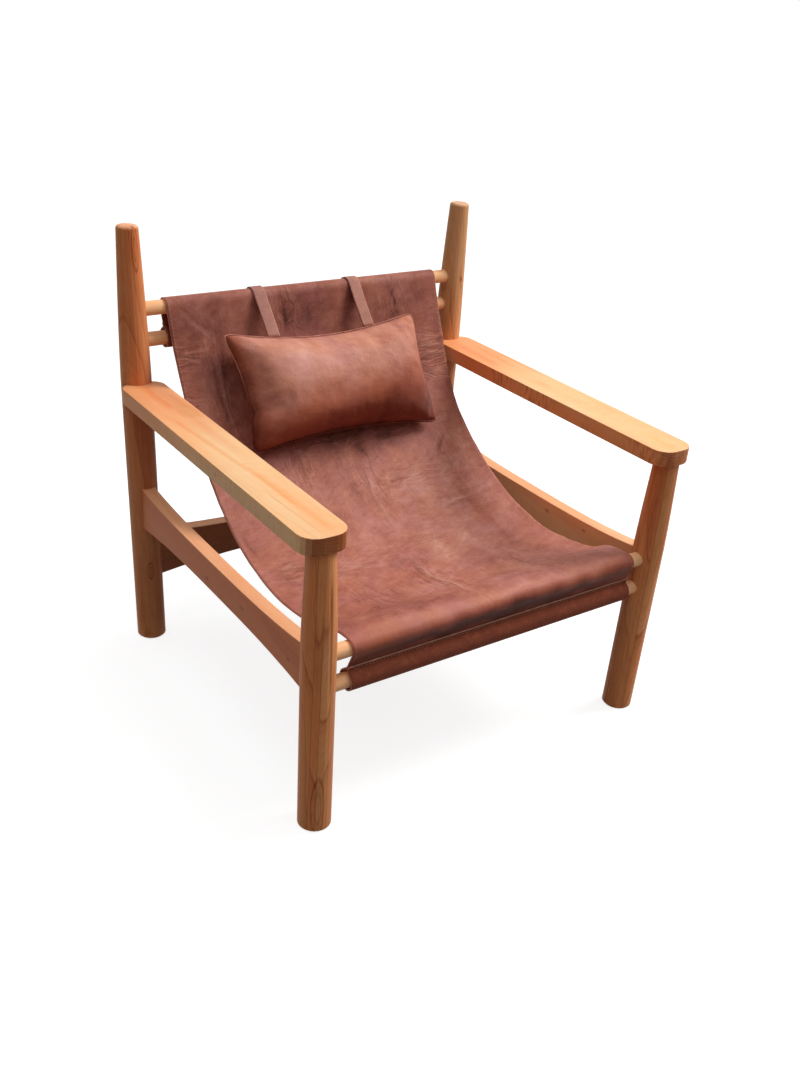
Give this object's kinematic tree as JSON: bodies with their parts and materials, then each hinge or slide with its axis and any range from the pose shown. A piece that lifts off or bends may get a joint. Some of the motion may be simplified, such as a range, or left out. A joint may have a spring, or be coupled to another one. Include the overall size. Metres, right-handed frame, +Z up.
{
  "type": "sling lounge chair",
  "caption": "Low lounge armchair with a round-legged wooden frame, a leather sling over dowels and a hanging head pillow.",
  "frame": {"origin": "middle of the chair's footprint, on the floor", "axes": "+Z up, the chair faces -Y, +X to the viewer's right when looking at the chair's front from -Y"},
  "size_m": [0.8022, 0.7268, 0.838],
  "materials": {
    "wood": "satin",
    "arm_wood": "satin",
    "dowel_wood": "matte",
    "sling_leather": "satin",
    "pillow_leather": "satin",
    "strap_leather": "matte",
    "filling": "matte",
    "zip_tape": "matte",
    "stud_brass": "satin",
    "screw_steel": "satin"
  },
  "bodies": {
    "frame": {"front_leg_left": "wood", "front_leg_right": "wood", "back_post_left": "wood", "back_post_right": "wood", "side_rail_left": "wood", "side_rail_right": "wood", "back_rail": "wood", "arm_left": "arm_wood", "arm_right": "arm_wood", "arm_screw_left": "screw_steel", "arm_screw_right": "screw_steel", "arm_screw_plug_left": "wood", "arm_screw_plug_right": "wood", "back_upper_dowel": "dowel_wood", "back_lower_dowel": "dowel_wood", "front_upper_dowel": "dowel_wood", "front_lower_dowel": "dowel_wood", "sling": "sling_leather", "strap_stud_left": "stud_brass", "strap_stud_right": "stud_brass"},
    "pillow": {"pillow_cover": "pillow_leather", "pillow_filling": "filling", "pillow_zip": "zip_tape", "pillow_strap_left": "strap_leather", "pillow_strap_right": "strap_leather"}
  },
  "joints": [
    {"name": "pillow_lift", "type": "hinge", "parent": "frame", "child": "pillow", "pos_m": [0, 0.33667, 0.686], "axis": [-1, 0, 0], "range_deg": [0, 80], "deforming": ["pillow_strap_left", "pillow_strap_right"]}
  ]
}
